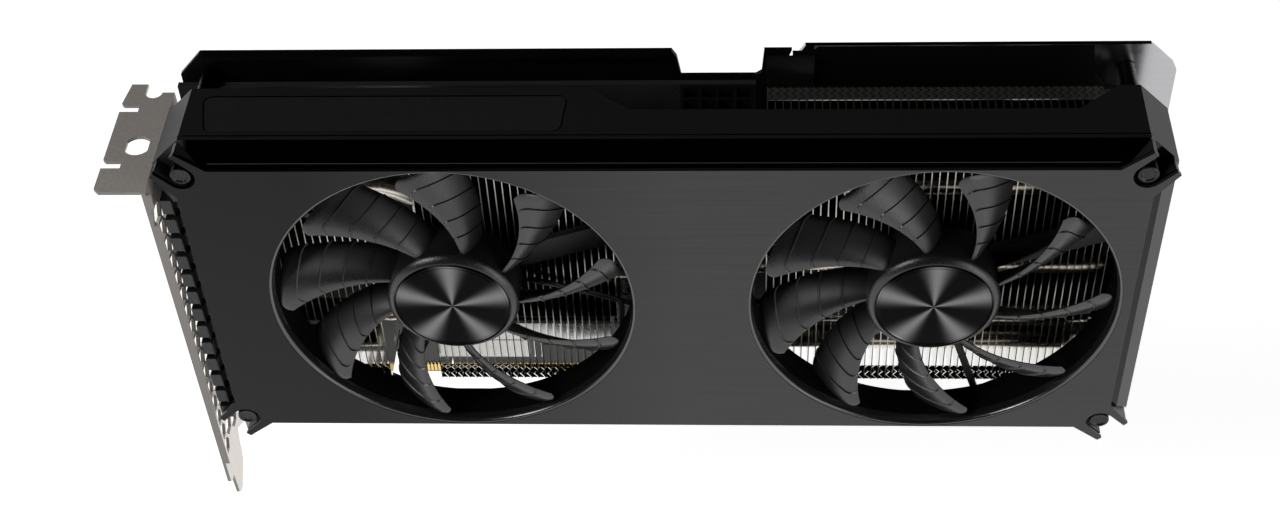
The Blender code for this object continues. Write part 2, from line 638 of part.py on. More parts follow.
def make_fan_cables():
    """Each cable leaves its fan's hub, runs out between two arms and dives to the board header."""
    y = (FRAME_FRONT + FRAME_REAR) / 2
    header_z = 11.0
    for side, x, outward, plug_x in (("left", FAN_X[0], 1, 119.5), ("right", FAN_X[1], -1, 125.5)):
        lead = x + outward * OPENING_R
        way = [(x + outward * 17.2, y, CENTRE_Z - 3), (x + outward * 27, y, CENTRE_Z - 6),
               (x + outward * 38, y, CENTRE_Z - 10), (lead, y + 1, CENTRE_Z - 14),
               ((lead + plug_x) / 2, 18.5, 20.5), (plug_x, 22.5, 13.0), (plug_x, 26.5, header_z),
               (plug_x, 28.8, header_z), (plug_x, 30.2, header_z)]
        tube("fan_%s_cable" % side, smooth_route(way, 3), 0.8, CABLE_BLACK)
    box("fan_header", (116.0, 30.6, header_z - 3), (129.0, PCB_FRONT - GAP, header_z + 3), SOCKET_BLACK)


# ---------------------------------------------------------------- heatsink

def make_fins(name, x_low, x_high, y_high, pipe_heights, cut=0.0):
    """Upright fins joined by flanges along their top and bottom edges, notched from behind for pipes.

    The cut takes the two corners off the right end, and the flanges follow it.
    """
    count = round((x_high - x_low - FIN_THICK) / FIN_PITCH)
    pitch = (x_high - x_low - FIN_THICK) / count
    outline = [(x_low, FIN_LOW), (x_high - cut, FIN_LOW), (x_high, FIN_LOW + cut),
               (x_high, FIN_HIGH - cut), (x_high - cut, FIN_HIGH), (x_low, FIN_HIGH)]
    if not cut:
        outline = rectangle(x_low, x_high, FIN_LOW, FIN_HIGH)
    stack = sheet(name, outline, [], "XZ", FIN_FRONT, y_high, FIN_METAL)
    slots = bmesh.new()
    for index in range(count):
        left = x_low + index * pitch + FIN_THICK
        right = x_low + (index + 1) * pitch
        margin = FIN_THICK + max(0.0, right - (x_high - cut))
        add_box(slots, (left, FIN_FRONT - 1, FIN_LOW + margin), (right, y_high + 1, FIN_HIGH - margin))
    combine(stack, place(name + "_slots", mesh_from(slots, "slots"), None, True), "DIFFERENCE")
    if pipe_heights:
        room = PIPE_R + GAP
        channels = bmesh.new()
        for z in pipe_heights:
            add_box(channels, (x_low - 1, PIPE_Y - room, z - room), (x_high + 1, y_high + 1, z + room))
        combine(stack, place(name + "_channels", mesh_from(channels, "channels"), None, True), "DIFFERENCE")


def eased(start, end, x_low, x_high, x):
    """A height that swings smoothly from start to end between x_low and x_high."""
    part = min(max((x - x_low) / (x_high - x_low), 0.0), 1.0)
    return start + (end - start) * (1 - math.cos(math.pi * part)) / 2


def cooler_corners():
    offsets = (-COOLER_HOLE, COOLER_HOLE)
    return [(GPU[0] + u, GPU[1] + v) for u in offsets for v in offsets]


def make_heatsink():
    make_fins("fin_stack_left", 22.0, 46.6, 31.0, PIPE_SIDE_Z)
    make_fins("fin_stack_middle", 60.0, 108.0, PIPE_Y - PIPE_R - GAP, [])
    make_fins("fin_stack_right", 145.6, FIN_RIGHT, 32.0, PIPE_SIDE_Z, FIN_CUT)
    for index in range(3):
        side, middle = PIPE_SIDE_Z[index], PIPE_GPU_Z[index]
        route = [(PIPE_ENDS[0], PIPE_Y, side)]
        route += [(x, PIPE_Y, eased(side, middle, *BEND_LEFT, x)) for x in range(48, 65, 4)]
        route += [(x, PIPE_Y, eased(middle, side, *BEND_RIGHT, x)) for x in range(108, 145, 6)]
        route += [(PIPE_ENDS[1], PIPE_Y, side)]
        tube("heat_pipe_%d" % (index + 1), route, PIPE_R, NICKEL)
    x, z = GPU
    box("cold_plate", (x - 20, 29.5, z - 20), (x + 20, 31.7, z + 20), COPPER, bevel=0.4)
    corners = cooler_corners()
    openings = [rectangle(x - 20.4, x + 20.4, z - 20.4, z + 20.4)] + [circle(c, 1.6, 8) for c in corners]
    sheet("cooler_frame", rectangle(x - 28, x + 28, z - 28, z + 28), openings, "XZ", 29.7, 31.2, BRIGHT_STEEL)
    for index, corner in enumerate(corners):
        profile = [(0, 29.9), (1.25, 29.9), (1.25, 36.3), (2.5, 36.3), (2.5, 37.7), (0, 37.7)]
        turned("cooler_screw_%d" % (index + 1), corner, profile, BRIGHT_STEEL, 12)


# ---------------------------------------------------------------- board and its parts

def make_board():
    key_low, key_high = 57.6, 59.5
    outline = [(2.0, PCB_TOP), (2.0, PCB_BOTTOM), (45.6, PCB_BOTTOM), (45.6, CONTACT_TIP + 0.8),
               (46.4, CONTACT_TIP), (key_low, CONTACT_TIP), (key_low, -11.0), (key_high, -11.0),
               (key_high, CONTACT_TIP), (130.4, CONTACT_TIP), (131.2, CONTACT_TIP + 0.8),
               (131.2, -11.6), (134.0, -11.6), (134.0, -16.0), (137.0, -16.0), (137.0, PCB_BOTTOM),
               (PCB_RIGHT, PCB_BOTTOM), (PCB_RIGHT, PCB_TOP), (12.8, PCB_TOP), (12.2, PCB_TOP - 1),
               (7.6, PCB_TOP - 1), (7.0, PCB_TOP)]
    x, z = GPU
    holes = [circle(corner, 1.7, 8) for corner in cooler_corners()]
    holes.append(circle(post_centre(-1, -1), 2.4, 16))
    sheet("pcb", outline, holes, "XZ", PCB_FRONT, PCB_REAR, BOARD_BLACK)
    low, top = CONTACT_TIP + 0.7, CONTACT_TIP + 0.7 + CONTACT_HEIGHT
    bridge = -10.5
    strip = [(46.6, top), (46.6, low), (57.1, low), (57.1, bridge), (60.0, bridge), (60.0, low),
             (130.2, low), (130.2, top), (60.4, top), (60.4, bridge + 0.4), (56.7, bridge + 0.4), (56.7, top)]
    sheet("edge_contacts_front", strip, [], "XZ", PCB_FRONT - 0.34, PCB_FRONT - 0.24, GOLD)
    sheet("edge_contacts_rear", strip, [], "XZ", PCB_REAR + 0.24, PCB_REAR + 0.34, GOLD)
    rear = PCB_FRONT - GAP
    box("gpu_package", (x - 18.5, rear - 1.2, z - 18.5), (x + 18.5, rear, z + 18.5), PACKAGE_GREEN, bevel=0.2)
    box("gpu_die", (x - 11, rear - 1.2 - GAP - 0.5, z - 8), (x + 11, rear - 1.2 - GAP, z + 8), DIE_GREY)
    chips = [(x - 8.5, z + 30), (x + 8.5, z + 30), (x - 8.5, z - 30), (x + 8.5, z - 30), (x - 33, z + 9),
             (x - 33, z - 9)]
    for index, (u, v) in enumerate(chips):
        half_wide, half_tall = CHIP_SIZE[0] / 2, CHIP_SIZE[1] / 2
        box("memory_chip_%d" % (index + 1), (u - half_wide, rear - 1.1, v - half_tall),
            (u + half_wide, rear, v + half_tall), CHIP_BLACK, bevel=0.15)
    for index in range(3):
        v = 30.0 + index * 13
        box("power_choke_%d" % (index + 1), (117.0, rear - 4.6, v), (127.0, rear, v + 10), CHOKE_GREY,
            bevel=0.5)


def make_power_connector():
    """An eight-way power socket whose mouths face up, two rows of four."""
    pitch = 4.2
    half_mouth = 1.7
    left, right = 124.9, 142.7
    front, rear = 24.2, PCB_FRONT - GAP
    body = box("power_connector", (left, front, 71.0), (right, rear, PCB_TOP + 0.2), SOCKET_BLACK)
    mouths = bmesh.new()
    for column in range(4):
        for row in range(2):
            x = (left + right) / 2 + (column - 1.5) * pitch
            y = (front + rear) / 2 + (row - 0.5) * pitch
            add_box(mouths, (x - half_mouth, y - half_mouth, 75.0), (x + half_mouth, y + half_mouth, 90.0))
    combine(body, place("power_mouths", mesh_from(mouths, "power_mouths"), None, True), "DIFFERENCE")
    latch = box("power_latch", ((left + right) / 2 - 2.4, front - 1.4, 80.0),
                ((left + right) / 2 + 2.4, front + 0.5, 84.0), None, True)
    combine(body, latch, "UNION")


def make_ports():
    names = ["hdmi_socket", "display_socket_1", "display_socket_2", "display_socket_3"]
    front, rear = PORT_DEPTH
    for name, (low, high) in zip(names, PORT_PLACES):
        shell = box(name, (-SHEET, front, low), (17.0, rear, high), BRIGHT_STEEL)
        wall = 0.45
        mouth = box(name + "_mouth", (-SHEET - 1, front + wall, low + wall), (14.0, rear - wall, high - wall),
                    None, True)
        combine(shell, mouth, "DIFFERENCE")
        middle = (front + rear) / 2
        tongue = box(name + "_tongue", (0.6, middle - 0.4, low + 2.2), (14.5, middle + 0.4, high - 2.2),
                     None, True)
        combine(shell, tongue, "UNION")


# ---------------------------------------------------------------- back plates

def make_back_plates():
    notch_low, notch_high = 124.0, 145.0
    notch_floor = PCB_TOP - 0.6
    right = 148.6
    outline = [(2.2, 87.4), (2.2, -1.0), (8.0, -7.0), (right, -7.0), (right, notch_floor),
               (right + 3.0, BACK_TOP), (notch_high, BACK_TOP), (notch_high - 0.6, notch_floor + 1),
               (notch_high - 2.0, notch_floor), (notch_low + 1.0, notch_floor), (notch_low, BACK_TOP - 2),
               (notch_low - 1.2, BACK_TOP), (8.0, BACK_TOP)]
    slots = [rectangle(106.0, 120.0, 20.0 + 12 * i, 24.0 + 12 * i) for i in range(4)]
    plate = sheet("backplate", outline, slots, "XZ", BACK_FRONT, BACK_REAR, BACK_BLACK)
    fold = box("backplate_fold", (9.0, BACK_FRONT - 1.6, BACK_TOP - 1.1),
               (notch_low - 2.0, BACK_FRONT + 0.6, BACK_TOP - 0.001), None, True)
    combine(plate, fold, "UNION")

    low, high = -5.0, 95.4
    end_outline = [(right + 1.2, low + 8), (right + 6.2, low), (236.3, low), (242.3, low + 6.0),
                   (243.3, low + 8.0), (243.3, high - 8.0), (242.3, high - 6.0), (236.3, high),
                   (right + 6.2, high), (right + 1.2, high - 8.0)]
    windows = [rectangle(162.0 + 11.2 * i, 170.0 + 11.2 * i, 12.0, 79.0) for i in range(6)]
    sheet("rear_end_plate", end_outline, windows, "XZ", BACK_FRONT, BACK_REAR, MIRROR_GREY)


make_bracket()
make_front_plate()
make_shroud()
make_panel_and_posts()
for fan_side, fan_x, fan_phase, fan_arms in zip(("left", "right"), FAN_X, FAN_PHASE, FAN_ARMS):
    make_fan(fan_side, fan_x, fan_phase, fan_arms)
make_fan_cables()
make_heatsink()
make_board()
make_power_connector()
make_ports()
make_back_plates()
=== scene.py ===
"""Looks of the dual-fan graphics card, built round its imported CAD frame.

Lengths are in metres; MM turns millimetres into metres. The card stands along X, with its fans
facing -Y and its top edge facing +Z.
"""
import bmesh
import bpy
import json
import math
from mathutils import Matrix, Vector


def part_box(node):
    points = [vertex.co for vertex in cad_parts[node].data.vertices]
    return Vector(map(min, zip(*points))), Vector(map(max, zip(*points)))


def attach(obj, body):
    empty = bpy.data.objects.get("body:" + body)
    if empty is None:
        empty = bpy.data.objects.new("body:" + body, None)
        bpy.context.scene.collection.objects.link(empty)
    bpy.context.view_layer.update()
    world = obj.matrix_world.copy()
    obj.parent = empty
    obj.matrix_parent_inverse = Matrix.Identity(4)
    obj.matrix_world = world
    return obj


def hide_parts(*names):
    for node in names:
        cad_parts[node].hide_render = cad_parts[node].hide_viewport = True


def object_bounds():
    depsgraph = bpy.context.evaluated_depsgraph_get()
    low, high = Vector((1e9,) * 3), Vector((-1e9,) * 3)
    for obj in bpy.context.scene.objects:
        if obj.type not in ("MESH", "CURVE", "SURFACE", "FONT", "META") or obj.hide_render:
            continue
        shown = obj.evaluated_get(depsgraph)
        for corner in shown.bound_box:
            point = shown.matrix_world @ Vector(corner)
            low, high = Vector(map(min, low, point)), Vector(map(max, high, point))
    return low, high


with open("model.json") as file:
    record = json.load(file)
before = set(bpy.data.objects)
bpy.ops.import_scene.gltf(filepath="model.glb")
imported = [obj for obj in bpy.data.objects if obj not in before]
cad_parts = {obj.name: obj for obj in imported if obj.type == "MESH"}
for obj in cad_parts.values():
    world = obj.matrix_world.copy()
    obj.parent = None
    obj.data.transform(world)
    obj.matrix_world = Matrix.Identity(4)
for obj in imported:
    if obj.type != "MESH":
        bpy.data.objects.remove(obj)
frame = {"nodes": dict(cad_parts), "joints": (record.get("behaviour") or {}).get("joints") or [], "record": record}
cad_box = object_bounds()

MM = 0.001
ROOT = "card"

PLATE_LOW, PLATE_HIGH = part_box("front_plate")
SHROUD_LOW, SHROUD_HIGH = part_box("shroud")
FACE_Y = PLATE_LOW.y                        # the front plate's outer face
FANS = [(joint["child"], Vector(joint["pos_m"])) for joint in frame["joints"]]
CARD = FANS[0][1] - Vector((68.8, 0, 45.25)) * MM      # origin of the card frame, see at()

FIN_PITCH = 1.85 * MM
FIN_SHEET = 0.25 * MM
FIN_CUT = 4.9 * MM                          # corner cut at the right end of the right stack
PIPE_R = 3.0 * MM
LEFT_BEND = (53.1 * MM, 69.1 * MM)          # where the heat pipes swing from one height to the next
RIGHT_BEND = (113.1 * MM, 147.1 * MM)
LOW_PIPE_Z = CARD.z + 5.8 * MM              # height of the lowest pipe's runs
BLADES = 9
TIP_R = 42.6
HUB_R = 16.25
CAP_R = 14.15
RIDGES = (22.0, 27.5, 33.0, 38.5)           # ridges across each blade, as radii in millimetres


def at(x, y, z):
    """The world position of a point given in millimetres in the card frame.

    That frame runs along X from the bracket's inner face, back along Y from the front plate's outer
    face, and up along Z from the plate's lower edge.
    """
    return CARD + Vector((x, y, z)) * MM


# ---------------------------------------------------------------- making pieces

def piece(name, mesh, skin, body, smooth=30):
    """A finished mesh as an object that rides on a body, its faces shaded smooth up to an angle."""
    made = bpy.data.objects.new(name, mesh)
    bpy.context.scene.collection.objects.link(made)
    mesh.materials.append(skin)
    if smooth:
        mesh.shade_smooth()
        mesh.set_sharp_from_angle(angle=math.radians(smooth))
    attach(made, body)
    return made


def mesh_of(bm, name):
    bmesh.ops.recalc_face_normals(bm, faces=bm.faces)
    mesh = bpy.data.meshes.new(name)
    bm.to_mesh(mesh)
    bm.free()
    return mesh


def turned(name, centre, profile, skin, body, sides=96):
    """A profile of (radius, y) points in millimetres, turned about the Y axis through centre."""
    bm = bmesh.new()
    ring = [bm.verts.new((radius * MM, y * MM, 0)) for radius, y in profile]
    for first, second in zip(ring, ring[1:]):
        bm.edges.new((first, second))
    if profile[0][0] > 0:
        bm.edges.new((ring[-1], ring[0]))
    bmesh.ops.spin(bm, geom=bm.verts[:] + bm.edges[:], cent=(0, 0, 0), axis=(0, 1, 0),
                   angle=2 * math.pi, steps=sides, use_merge=True)
    bmesh.ops.remove_doubles(bm, verts=bm.verts, dist=0.001 * MM)
    bmesh.ops.translate(bm, verts=bm.verts, vec=centre)
    return piece(name, mesh_of(bm, name), skin, body)


def slab(bm, outline, axis, low, high):
    """Adds a flat outline, pulled from low to high along the given axis, to bm."""
    order = {"X": lambda u, v, w: (w, u, v), "Y": lambda u, v, w: (u, w, v),
             "Z": lambda u, v, w: (u, v, w)}[axis]
    near = [bm.verts.new(order(u, v, low)) for u, v in outline]
    far = [bm.verts.new(order(u, v, high)) for u, v in outline]
    bm.faces.new(near)
    bm.faces.new(far[::-1])
    for i in range(len(outline)):
        j = (i + 1) % len(outline)
        bm.faces.new((near[i], near[j], far[j], far[i]))


def arc(u, v, radius, start, sweep, steps):
    """Points of an arc; the angles are in degrees."""
    angles = [math.radians(start + sweep * i / steps) for i in range(steps + 1)]
    return [(u + radius * math.cos(a), v + radius * math.sin(a)) for a in angles]


# ---------------------------------------------------------------- materials

def shaded(name, colour, roughness, metallic=0.0, specular=0.5):
    made = bpy.data.materials.new(name)
    made.use_nodes = True
    shader = made.node_tree.nodes["Principled BSDF"]
    shader.inputs["Base Color"].default_value = (*colour, 1)
    shader.inputs["Roughness"].default_value = roughness
    shader.inputs["Metallic"].default_value = metallic
    shader.inputs["Specular IOR Level"].default_value = specular
    made.diffuse_color = (*colour, 1)
    return made


def node(made, kind, **values):
    """A new shader node; values name its properties or, where it has no such property, its inputs."""
    new = made.node_tree.nodes.new(kind)
    for key, value in values.items():
        if hasattr(new, key):
            setattr(new, key, value)
        else:
            new.inputs[key.replace("_", " ")].default_value = value
    return new


def wire(made, source, target):
    made.node_tree.links.new(source, target)


def shader_input(made, name):
    return made.node_tree.nodes["Principled BSDF"].inputs[name]


def object_noise(made, scale, stretch=(1, 1, 1), detail=3.0):
    """A noise value in the object's own coordinates; scale counts its cells to the metre."""
    place = node(made, "ShaderNodeTexCoord")
    mapping = node(made, "ShaderNodeMapping")
    mapping.inputs["Scale"].default_value = stretch
    noise = node(made, "ShaderNodeTexNoise")
    noise.inputs["Scale"].default_value = scale
    noise.inputs["Detail"].default_value = detail
    wire(made, place.outputs["Object"], mapping.inputs["Vector"])
    wire(made, mapping.outputs["Vector"], noise.inputs["Vector"])
    return noise.outputs["Fac"]


def spread(made, value, low, high, out_low, out_high):
    """The value with its range from low to high stretched to run from out_low to out_high."""
    ranged = node(made, "ShaderNodeMapRange")
    for key, number in (("From Min", low), ("From Max", high), ("To Min", out_low), ("To Max", out_high)):
        ranged.inputs[key].default_value = number
    wire(made, value, ranged.inputs["Value"])
    return ranged.outputs["Result"]


def mixed(made, factor, first, second):
    """A colour between two colours, each a tuple or another node's output."""
    mix = node(made, "ShaderNodeMix", data_type="RGBA")
    wire(made, factor, mix.inputs["Factor"])
    for key, colour in (("A", first), ("B", second)):
        socket = [s for s in mix.inputs if s.name == key and s.type == "RGBA"][0]
        if isinstance(colour, tuple):
            socket.default_value = (*colour, 1)
        else:
            wire(made, colour, socket)
    return [s for s in mix.outputs if s.type == "RGBA"][0]


def bump(made, height, depth, strength=1.0):
    """Bumps of the given depth in metres from a height value."""
    bumped = node(made, "ShaderNodeBump")
    bumped.inputs["Strength"].default_value = strength
    bumped.inputs["Distance"].default_value = depth
    wire(made, height, bumped.inputs["Height"])
    wire(made, bumped.outputs["Normal"], shader_input(made, "Normal"))


def grained(name, colour, roughness, metallic=0.0, scale=900.0, stretch=(1, 1, 1), swing=0.3,
            rough_swing=0.08, depth=0.02 * MM, specular=0.5, detail=3.0):
    """A surface whose colour, roughness and height all vary with one noise."""
    made = shaded(name, colour, roughness, metallic, specular)
    noise = object_noise(made, scale, stretch, detail)
    factor = spread(made, noise, 0.3, 0.7, 0.0, 1.0)
    dark = tuple(c * (1 - swing) for c in colour)
    light = tuple(c * (1 + swing) for c in colour)
    wire(made, mixed(made, factor, dark, light), shader_input(made, "Base Color"))
    rough = spread(made, noise, 0.3, 0.7, roughness - rough_swing, roughness + rough_swing)
    wire(made, rough, shader_input(made, "Roughness"))
    bump(made, noise, depth)
    return made


def position(made, axis):
    """One coordinate of the object's own space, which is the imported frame's space at rest."""
    place = node(made, "ShaderNodeTexCoord")
    axes = node(made, "ShaderNodeSeparateXYZ")
    wire(made, place.outputs["Object"], axes.inputs["Vector"])
    return axes.outputs[axis]


def scaled_colour(made, factor):
    """Multiplies a material's colour by a factor that varies over the surface."""
    colour = shader_input(made, "Base Color")
    scaled = node(made, "ShaderNodeVectorMath", operation="SCALE")
    wire(made, colour.links[0].from_socket, scaled.inputs[0])
    wire(made, factor, scaled.inputs["Scale"])
    wire(made, scaled.outputs["Vector"], colour)


def brushed_plate():
    """Dark sheet brushed along X: long fine streaks, and painted shade that darkens it toward the left end."""
    made = grained("brushed_plate", (0.040, 0.040, 0.040), 0.4, 0.7, scale=3500.0,
                   stretch=(0.012, 1, 1), swing=0.13, rough_swing=0.04, depth=0.004 * MM, detail=6.0)
    # Painted shade: the colour falls to a tenth of its value from x 125 mm down to x 38 mm, toward the left end.
    scaled_colour(made, spread(made, position(made, "X"), at(38, 0, 0).x, at(125, 0, 0).x, 0.1, 1.0))
    shader_input(made, "Anisotropic").default_value = 0.4
    return made


def bracket_sheet():
    """Bare steel with a fine grain; painted shade darkens the faces that look along Y, such as the cut front edge,
    to a quarter of the colour of its flat sides.
    """
    made = grained("bracket_sheet", (0.78, 0.73, 0.68), 0.42, 0.3, scale=1100.0, stretch=(1, 1, 0.03),
                   swing=0.07, rough_swing=0.08, depth=0.004 * MM, detail=4.0)
    # Painted shade: faces turned along Y, either way, get a quarter of the colour.
    scaled_colour(made, blended(made, facing(made, "Y", 0.4, 0.6), 1.0, 0.25))
    return made


def facing(made, axis, low, high):
    """How far a surface faces along an axis, either way: 0 below low and 1 above high."""
    normal = node(made, "ShaderNodeNewGeometry")
    axes = node(made, "ShaderNodeSeparateXYZ")
    wire(made, normal.outputs["True Normal"], axes.inputs["Vector"])
    size = node(made, "ShaderNodeMath", operation="ABSOLUTE")
    wire(made, axes.outputs[axis], size.inputs[0])
    return spread(made, size.outputs["Value"], low, high, 0.0, 1.0)


def product(made, first, second):
    times = node(made, "ShaderNodeMath", operation="MULTIPLY")
    wire(made, first, times.inputs[0])
    wire(made, second, times.inputs[1])
    return times.outputs["Value"]


def blended(made, factor, first, second):
    """A number that goes from first to second as factor goes from 0 to 1."""
    return spread(made, factor, 0.0, 1.0, first, second)


def shroud_plastic():
    """Black moulding: satin ends, flats and comb, and polished bevels that face forward, with painted shade making
    those bevels far darker than the flats.
    """
    made = shaded("shroud_plastic", (0.004, 0.004, 0.004), 0.3, specular=0.3)
    ends = facing(made, "X", 0.5, 0.58)
    front = facing(made, "Y", 0.3, 0.5)
    past_comb = spread(made, position(made, "X"), at(10, 0, 0).x, at(12, 0, 0).x, 0.0, 1.0)
    bevel = product(made, front, past_comb)
    bevel_end = SHROUD_LOW.y + 3.6 * MM
    behind_bevel = spread(made, position(made, "Y"), bevel_end, bevel_end + 0.6 * MM, 0.0, 1.0)
    outside = node(made, "ShaderNodeMath", operation="MAXIMUM")
    wire(made, front, outside.inputs[0])
    wire(made, behind_bevel, outside.inputs[1])
    satin_end = product(made, ends, outside.outputs["Value"])
    rough = node(made, "ShaderNodeMix", data_type="FLOAT")
    wire(made, satin_end, rough.inputs["Factor"])
    wire(made, blended(made, bevel, 0.36, 0.07), rough.inputs["A"])
    rough.inputs["B"].default_value = 0.45
    wire(made, rough.outputs["Result"], shader_input(made, "Roughness"))
    # Painted shade: the forward-facing bevels get a colour of 0.0004 against the flats' 0.02; their polish, set by
    # the roughness, is the real finish.
    flats = mixed(made, bevel, (0.02, 0.02, 0.02), (0.0004, 0.0004, 0.0004))
    wire(made, mixed(made, satin_end, flats, (0.021, 0.021, 0.021)), shader_input(made, "Base Color"))
    bump(made, object_noise(made, 2600.0), 0.006 * MM, 0.4)
    return made


def blade_plastic():
    """Black with the sparkle of a fine spark-eroded mould, smoother toward the front edges, and painted sheen and
    shade: the colour is lighter toward the front edges and near black toward the rear ones.
    """
    made = grained("blade_plastic", (0.005, 0.005, 0.005), 0.27, scale=5200.0, swing=0.4,
                   rough_swing=0.1, depth=0.04 * MM, specular=0.6)
    depth = spread(made, position(made, "Y"), FACE_Y + 1.5 * MM, FACE_Y + 7.5 * MM, 0.0, 1.0)
    # Painted sheen and shade: the colour is doubled at the front edges and falls to a tenth toward the rear edges.
    scaled_colour(made, blended(made, depth, 2.0, 0.1))
    rough = shader_input(made, "Roughness")
    rougher = node(made, "ShaderNodeMath", operation="ADD")
    wire(made, rough.links[0].from_socket, rougher.inputs[0])
    wire(made, blended(made, depth, 0.0, 0.3), rougher.inputs[1])
    wire(made, rougher.outputs["Value"], rough)
    return made


def fin_sheet():
    """Thin polished sheet: mirror-like sides, duller edges and tabs, and painted shade that turns the tabs along
    the bottom near black.
    """
    bright, dark = (0.66, 0.64, 0.60), (0.012, 0.012, 0.012)
    made = shaded("fin_sheet", bright, 0.12, 1.0)
    marks = object_noise(made, 1600.0, (1, 1, 0.1))
    # Painted shade: surfaces facing up or down below about 22 mm, the bottom tabs, take a near-black colour
    # instead of the bright metal.
    low_down = spread(made, position(made, "Z"), at(0, 0, 20).z, at(0, 0, 24).z, 1.0, 0.0)
    low_tab_shade = product(made, facing(made, "Z", 0.5, 0.6), low_down)
    wire(made, mixed(made, low_tab_shade, bright, dark), shader_input(made, "Base Color"))
    polish = node(made, "ShaderNodeMath", operation="ADD")
    wire(made, spread(made, marks, 0.3, 0.7, 0.09, 0.16), polish.inputs[0])
    sides = facing(made, "X", 0.5, 0.6)
    wire(made, blended(made, sides, 0.3, 0.0), polish.inputs[1])
    wire(made, polish.outputs["Value"], shader_input(made, "Roughness"))
    bump(made, marks, 0.002 * MM)
    return made


def spun_disc():
    """Each hub cap's disc: fine circular turning marks, and five painted highlight lobes round the centre."""
    made = shaded("spun_disc", (0.1, 0.1, 0.1), 0.3, 1.0)
    place = node(made, "ShaderNodeTexCoord")
    axes = node(made, "ShaderNodeSeparateXYZ")
    wire(made, place.outputs["Generated"], axes.inputs["Vector"])
    middle = node(made, "ShaderNodeCombineXYZ")
    angle = node(made, "ShaderNodeMath", operation="ARCTAN2")
    for axis, angle_socket in (("X", 1), ("Z", 0)):
        centred = node(made, "ShaderNodeMath", operation="SUBTRACT")
        wire(made, axes.outputs[axis], centred.inputs[0])
        centred.inputs[1].default_value = 0.5
        wire(made, centred.outputs["Value"], angle.inputs[angle_socket])
        wire(made, centred.outputs["Value"], middle.inputs[axis])
    # Painted highlights: the colour runs in five bright sectors with near-black ones between, standing for the
    # lobes of light a spun disc reflects.
    lobes, first_lobe = 5, math.radians(17)
    turn = node(made, "ShaderNodeMath", operation="MULTIPLY_ADD")
    wire(made, angle.outputs["Value"], turn.inputs[0])
    turn.inputs[1].default_value = lobes
    turn.inputs[2].default_value = -lobes * first_lobe
    wave = node(made, "ShaderNodeMath", operation="COSINE")
    wire(made, turn.outputs["Value"], wave.inputs[0])
    lobe = node(made, "ShaderNodeMath", operation="POWER")
    wire(made, spread(made, wave.outputs["Value"], -1.0, 1.0, 0.0, 1.0), lobe.inputs[0])
    lobe.inputs[1].default_value = 3.6
    wire(made, mixed(made, lobe.outputs["Value"], (0.0008, 0.0008, 0.0008), (0.16, 0.16, 0.16)),
         shader_input(made, "Base Color"))
    radius = node(made, "ShaderNodeVectorMath", operation="LENGTH")
    wire(made, middle.outputs["Vector"], radius.inputs[0])
    rings = node(made, "ShaderNodeTexNoise", noise_dimensions="1D")
    rings.inputs["Scale"].default_value = 260.0
    wire(made, radius.outputs["Value"], rings.inputs["W"])
    bump(made, rings.outputs["Fac"], 0.01 * MM, 0.5)
    return made


def end_sheet():
    """Dark satin metal with faint lengthwise polishing marks."""
    return grained("end_sheet", (0.42, 0.42, 0.43), 0.2, 1.0, scale=1200.0, stretch=(0.05, 1, 1),
                   swing=0.03, rough_swing=0.015, depth=0.0005 * MM)


def board_mask():
    """Black solder mask over traces: raised lines on a coarse grid, and a fine grain."""
    made = shaded("board_mask", (0.02, 0.02, 0.02), 0.45)
    place = node(made, "ShaderNodeTexCoord")
    traces = node(made, "ShaderNodeTexBrick")
    traces.inputs["Scale"].default_value = 260.0
    traces.inputs["Mortar Size"].default_value = 0.06
    turn = node(made, "ShaderNodeMapping")
    turn.inputs["Rotation"].default_value = (math.radians(90), 0, 0)
    wire(made, place.outputs["Object"], turn.inputs["Vector"])
    wire(made, turn.outputs["Vector"], traces.inputs["Vector"])
    wire(made, mixed(made, traces.outputs["Fac"], (0.02, 0.02, 0.02), (0.03, 0.031, 0.031)),
         shader_input(made, "Base Color"))
    bump(made, traces.outputs["Fac"], 0.03 * MM, 0.6)
    return made


